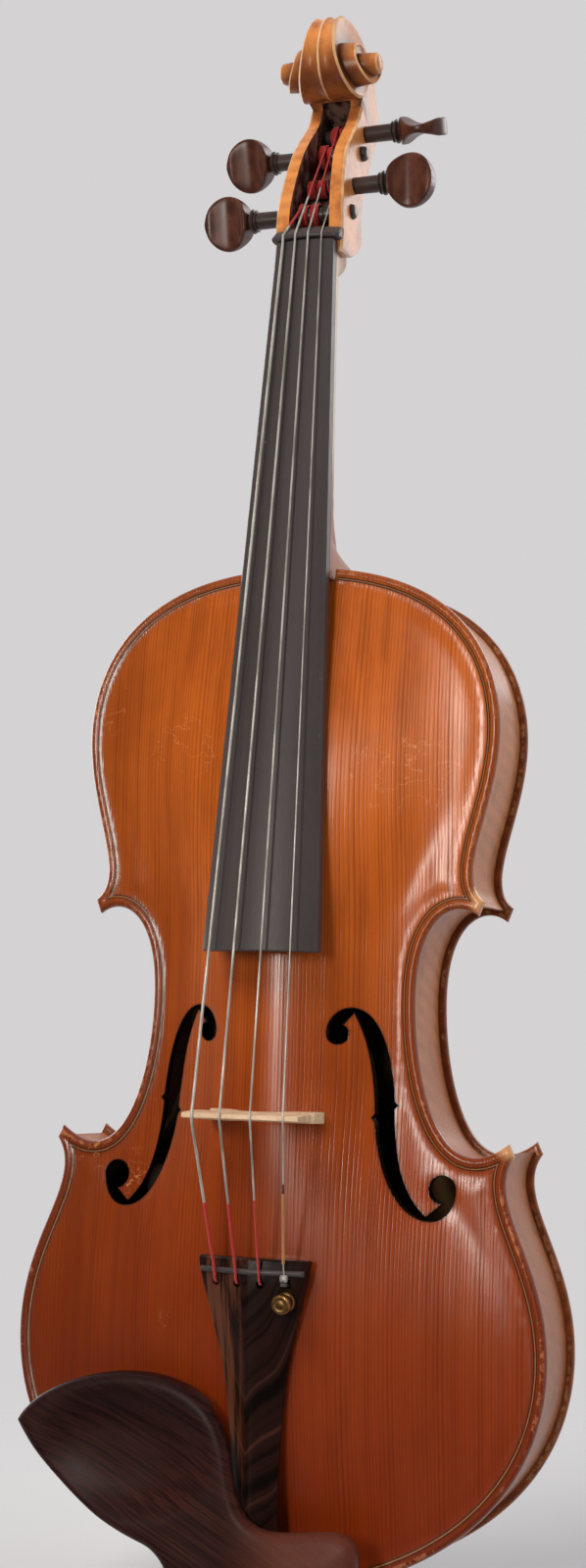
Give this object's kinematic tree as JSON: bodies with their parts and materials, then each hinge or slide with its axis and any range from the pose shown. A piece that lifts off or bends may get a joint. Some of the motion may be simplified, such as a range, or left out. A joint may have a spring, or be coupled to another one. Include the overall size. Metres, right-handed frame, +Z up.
{
  "type": "viola",
  "caption": "Strung bowed instrument with a waisted hollow body, carved scroll, turning tuning pegs, bridge, tailpiece with fine tuner, and clamped chinrest",
  "frame": {"origin": "centre of the end button's outer face, at the foot of the instrument", "axes": "+Z runs up the body towards the scroll, -Y is the belly with the strings, +Y the back, +X the treble side"},
  "size_m": [0.2248, 0.1107, 0.6824],
  "materials": {
    "spruce": "golden-brown varnished spruce, gloss",
    "maple": "orange-brown varnished maple, gloss",
    "rib_maple": "pinkish-tan varnished maple",
    "neck_maple": "honey-orange maple",
    "purfling": "dark-light-dark inlaid strip",
    "lining_willow": "plain pale wood",
    "block_spruce": "plain pale wood",
    "bar_spruce": "plain pale wood",
    "ebony": "dark satin ebony",
    "rosewood": "polished dark red-brown rosewood",
    "tail_rosewood": "satin dark rosewood",
    "bridge_maple": "bare cream maple",
    "steel": "wound and plain steel",
    "nickel": "nickel plate",
    "brass": "aged brass",
    "tail_gut": "black nylon cord",
    "cork": "matt cork"
  },
  "bodies": {
    "instrument": {"back_plate": "maple", "back_purfling": "purfling", "bass_bar": "bar_spruce", "bridge": "bridge_maple", "chinrest": "rosewood", "chinrest_cork_bass": "cork", "chinrest_cork_treble": "cork", "clamp_bracket": "nickel", "end_block": "block_spruce", "end_button": "ebony", "fingerboard": "ebony", "lower_corner_block_bass": "block_spruce", "lower_corner_block_treble": "block_spruce", "lower_lining_back_bass": "lining_willow", "lower_lining_back_treble": "lining_willow", "lower_lining_front_bass": "lining_willow", "lower_lining_front_treble": "lining_willow", "lower_rib_bass": "rib_maple", "lower_rib_treble": "rib_maple", "neck_and_scroll": "neck_maple", "neck_block": "block_spruce", "nut": "ebony", "saddle": "ebony", "sound_post": "bar_spruce", "string_a": "steel", "string_c": "steel", "string_d": "steel", "string_g": "steel", "tail_gut": "tail_gut", "tailpiece": "tail_rosewood", "tailpiece_fret": "ebony", "top_plate": "spruce", "top_purfling_bass": "purfling", "top_purfling_treble": "purfling", "tuner_frame": "brass", "upper_corner_block_bass": "block_spruce", "upper_corner_block_treble": "block_spruce", "upper_lining_back_bass": "lining_willow", "upper_lining_back_treble": "lining_willow", "upper_lining_front_bass": "lining_willow", "upper_lining_front_treble": "lining_willow", "upper_rib_bass": "rib_maple", "upper_rib_treble": "rib_maple", "waist_lining_back_bass": "lining_willow", "waist_lining_back_treble": "lining_willow", "waist_lining_front_bass": "lining_willow", "waist_lining_front_treble": "lining_willow", "waist_rib_bass": "rib_maple", "waist_rib_treble": "rib_maple"},
    "peg_c": {"peg_c": "rosewood"},
    "peg_g": {"peg_g": "rosewood"},
    "peg_d": {"peg_d": "rosewood"},
    "peg_a": {"peg_a": "rosewood"},
    "tuner_screw": {"tuner_screw": "steel"},
    "tuner_knob": {"tuner_knob": "brass"},
    "tuner_lever": {"tuner_lever": "steel"},
    "clamp_barrel_bass": {"clamp_barrel_bass": "nickel"},
    "clamp_barrel_treble": {"clamp_barrel_treble": "nickel"},
    "clamp_foot": {"clamp_foot": "nickel", "clamp_foot_cork": "cork"}
  },
  "joints": [
    {"name": "peg_c_turn", "type": "hinge", "parent": "instrument", "child": "peg_c", "pos_m": [0, -0.002, 0.5849], "axis": [1, 0, 0], "continuous": true},
    {"name": "peg_a_turn", "type": "hinge", "parent": "instrument", "child": "peg_a", "pos_m": [0, 0.004, 0.599], "axis": [1, 0, 0], "continuous": true},
    {"name": "peg_g_turn", "type": "hinge", "parent": "instrument", "child": "peg_g", "pos_m": [0, 0.0165, 0.6187], "axis": [1, 0, 0], "continuous": true},
    {"name": "peg_d_turn", "type": "hinge", "parent": "instrument", "child": "peg_d", "pos_m": [0, 0.0225, 0.63], "axis": [1, 0, 0], "continuous": true},
    {"name": "tuner_screw_travel", "type": "slide", "parent": "instrument", "child": "tuner_screw", "axis": [0, 0.991, 0.134], "range_m": [-0.00025, 0.0006]},
    {"name": "tuner_knob_turn", "type": "hinge", "parent": "tuner_screw", "child": "tuner_knob", "pos_m": [0.0146, -0.05116, 0.12504], "axis": [0, 0.991, 0.134], "range_deg": [-201, 481]},
    {"name": "tuner_lever_rock", "type": "hinge", "parent": "instrument", "child": "tuner_lever", "pos_m": [0.0146, -0.04274, 0.13072], "axis": [1, 0, 0], "range_deg": [-3.3, 7.8]},
    {"name": "clamp_foot_travel", "type": "slide", "parent": "instrument", "child": "clamp_foot", "axis": [0, 1, 0], "range_m": [0, 0.003]},
    {"name": "clamp_barrel_bass_turn", "type": "hinge", "parent": "instrument", "child": "clamp_barrel_bass", "pos_m": [-0.023, 0, 0.0069], "axis": [0, 1, 0], "range_deg": [-1, 773]},
    {"name": "clamp_barrel_treble_turn", "type": "hinge", "parent": "instrument", "child": "clamp_barrel_treble", "pos_m": [0.023, 0, 0.0069], "axis": [0, 1, 0], "range_deg": [-1, 773]}
  ],
  "couplings": [
    {"joint": "tuner_knob_turn", "follows": "tuner_screw_travel", "rad_per_m": 13963},
    {"joint": "tuner_lever_rock", "follows": "tuner_screw_travel", "rad_per_m": 222.22},
    {"joint": "clamp_barrel_bass_turn", "follows": "clamp_foot_travel", "rad_per_m": 4488},
    {"joint": "clamp_barrel_treble_turn", "follows": "clamp_foot_travel", "rad_per_m": 4488}
  ]
}
